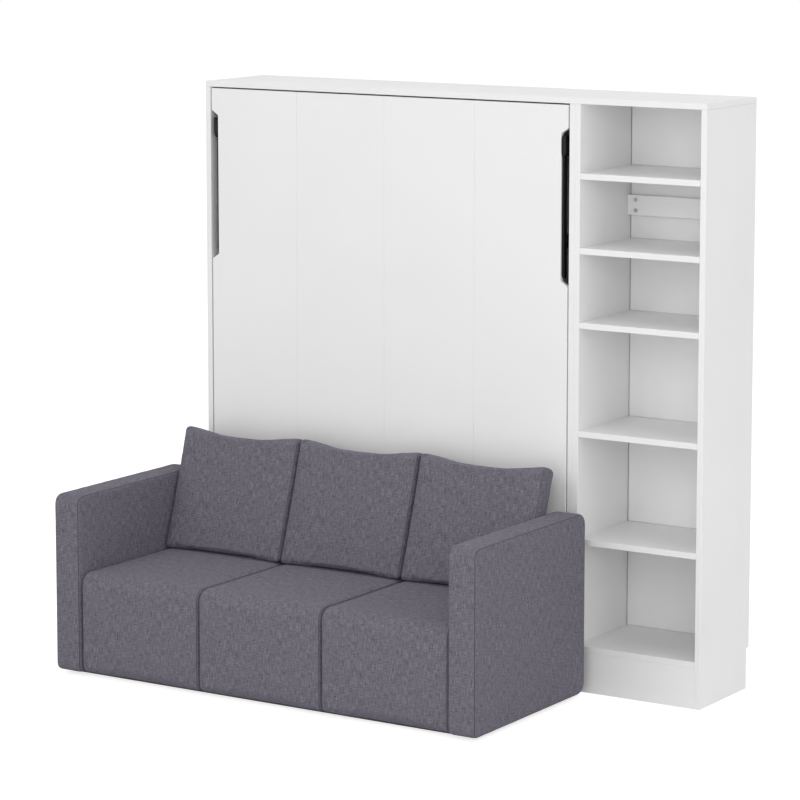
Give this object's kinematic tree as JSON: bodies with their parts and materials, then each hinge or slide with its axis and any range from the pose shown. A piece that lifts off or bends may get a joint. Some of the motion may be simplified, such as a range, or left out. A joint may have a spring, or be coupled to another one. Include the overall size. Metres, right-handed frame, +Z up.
{
  "type": "wall bed with sofa",
  "caption": "Wall bed whose panelled front tips down over a boxy sofa with loose back cushions, on fold-out legs, beside a tall column of open shelves",
  "frame": {"origin": "on the floor, in the middle of the whole object's outline seen from above", "axes": "+X to the right of someone who faces the cabinet, +Y back into the wall, +Z up"},
  "size_m": [2.2768, 1.217, 2.18],
  "materials": {
    "white_board": "white foil on particle board, satin",
    "back_board": "white lacquered fibreboard, matt",
    "frame_board": "white foil on particle board, matt",
    "slat_wood": "plain beech ply",
    "black_metal": "black powder coat",
    "grey_steel": "grey powder coat",
    "zinc_plate": "zinc plated",
    "chromed_rod": "polished",
    "plastic_skid": "black, matt",
    "sofa_fabric": "grey-purple woven upholstery",
    "mattress_fabric": "off-white knitted ticking",
    "strap_webbing": "dark woven webbing"
  },
  "bodies": {
    "cabinet_and_sofa": {"bed_side_left": "white_board", "bed_side_right": "white_board", "shelf_side_left": "white_board", "shelf_side_right": "white_board", "top_panel": "white_board", "shelf_board_1": "white_board", "shelf_board_2": "white_board", "shelf_board_3": "white_board", "shelf_board_4": "white_board", "shelf_board_5": "white_board", "shelf_bottom": "white_board", "shelf_plinth": "white_board", "shelf_wall_rail": "white_board", "lower_front_panel": "white_board", "bed_top_rail": "white_board", "bed_low_rail": "white_board", "shelf_back": "back_board", "bed_back_left": "back_board", "bed_back_right": "back_board", "cabinet_pivot_plate_left": "zinc_plate", "cabinet_pivot_plate_right": "zinc_plate", "wall_rail_screw_upper": "zinc_plate", "wall_rail_screw_lower": "zinc_plate", "sofa_link_bracket_left": "zinc_plate", "sofa_link_bracket_right": "zinc_plate", "sofa_skid_front": "plastic_skid", "sofa_skid_rear": "plastic_skid", "arm_left": "sofa_fabric", "arm_right": "sofa_fabric", "seat_left": "sofa_fabric", "seat_middle": "sofa_fabric", "seat_right": "sofa_fabric", "sofa_low_back": "sofa_fabric"},
    "bed": {"door_plank_1": "white_board", "door_plank_2": "white_board", "door_plank_3": "white_board", "door_plank_4": "white_board", "bed_rail_left": "frame_board", "bed_rail_right": "frame_board", "bed_head_rail": "frame_board", "bed_foot_rail": "frame_board", "slat_frame": "grey_steel", "slats": "slat_wood", "mattress": "mattress_fabric", "mattress_strap_lower": "strap_webbing", "mattress_strap_upper": "strap_webbing", "bed_pivot_plate_left": "grey_steel", "bed_pivot_plate_right": "grey_steel", "leg_bracket_left": "black_metal", "leg_bracket_right": "black_metal"},
    "leg_left": {"leg_left": "black_metal"},
    "leg_right": {"leg_right": "black_metal"},
    "cushion_left": {"back_cushion_left": "sofa_fabric"},
    "cushion_middle": {"back_cushion_middle": "sofa_fabric"},
    "cushion_right": {"back_cushion_right": "sofa_fabric"},
    "gas_cylinder_left": {"gas_cylinder_left": "black_metal"},
    "gas_cylinder_right": {"gas_cylinder_right": "black_metal"},
    "gas_rod_left": {"gas_rod_left": "chromed_rod"},
    "gas_rod_right": {"gas_rod_right": "chromed_rod"}
  },
  "joints": [
    {"name": "bed_fold", "type": "hinge", "parent": "cabinet_and_sofa", "child": "bed", "pos_m": [-0.2094, 0.2545, 0.526], "axis": [1, 0, 0], "range_deg": [0, 90]},
    {"name": "leg_fold_left", "type": "hinge", "parent": "bed", "child": "leg_left", "pos_m": [-0.975, 0.2358, 2.027], "axis": [-1, 0, 0], "range_deg": [0, 90]},
    {"name": "leg_fold_right", "type": "hinge", "parent": "bed", "child": "leg_right", "pos_m": [0.5562, 0.2358, 2.027], "axis": [-1, 0, 0], "range_deg": [0, 90]},
    {"name": "cushion_fold_left", "type": "hinge", "parent": "cabinet_and_sofa", "child": "cushion_left", "pos_m": [-0.75607, -0.08892, 0.40633], "axis": [1, 0, 0], "range_deg": [0, 107.51]},
    {"name": "cushion_fold_middle", "type": "hinge", "parent": "cabinet_and_sofa", "child": "cushion_middle", "pos_m": [-0.2194, -0.08892, 0.40633], "axis": [1, 0, 0], "range_deg": [0, 107.51]},
    {"name": "cushion_fold_right", "type": "hinge", "parent": "cabinet_and_sofa", "child": "cushion_right", "pos_m": [0.31727, -0.08892, 0.40633], "axis": [1, 0, 0], "range_deg": [0, 107.51]},
    {"name": "gas_swing_left", "type": "hinge", "parent": "cabinet_and_sofa", "child": "gas_cylinder_left", "pos_m": [-0.9694, 0.3105, 0.872], "axis": [1, 0, 0], "range_deg": [0, 14.32]},
    {"name": "gas_slide_left", "type": "slide", "parent": "gas_cylinder_left", "child": "gas_rod_left", "axis": [0, 0.0874, 0.9962], "range_m": [0, 0.12346]},
    {"name": "gas_swing_right", "type": "hinge", "parent": "cabinet_and_sofa", "child": "gas_cylinder_right", "pos_m": [0.5506, 0.3105, 0.872], "axis": [1, 0, 0], "range_deg": [0, 14.32]},
    {"name": "gas_slide_right", "type": "slide", "parent": "gas_cylinder_right", "child": "gas_rod_right", "axis": [0, 0.0874, 0.9962], "range_m": [0, 0.12346]}
  ],
  "couplings": [
    {"joint": "cushion_fold_left", "follows": "bed_fold", "ratio": 1.1944},
    {"joint": "cushion_fold_middle", "follows": "bed_fold", "ratio": 1.1944},
    {"joint": "cushion_fold_right", "follows": "bed_fold", "ratio": 1.1944},
    {"joint": "gas_swing_left", "follows": "bed_fold", "ratio": 0.15896},
    {"joint": "gas_slide_left", "follows": "bed_fold", "m_per_rad": 0.078535},
    {"joint": "gas_swing_right", "follows": "bed_fold", "ratio": 0.15896},
    {"joint": "gas_slide_right", "follows": "bed_fold", "m_per_rad": 0.078535}
  ]
}
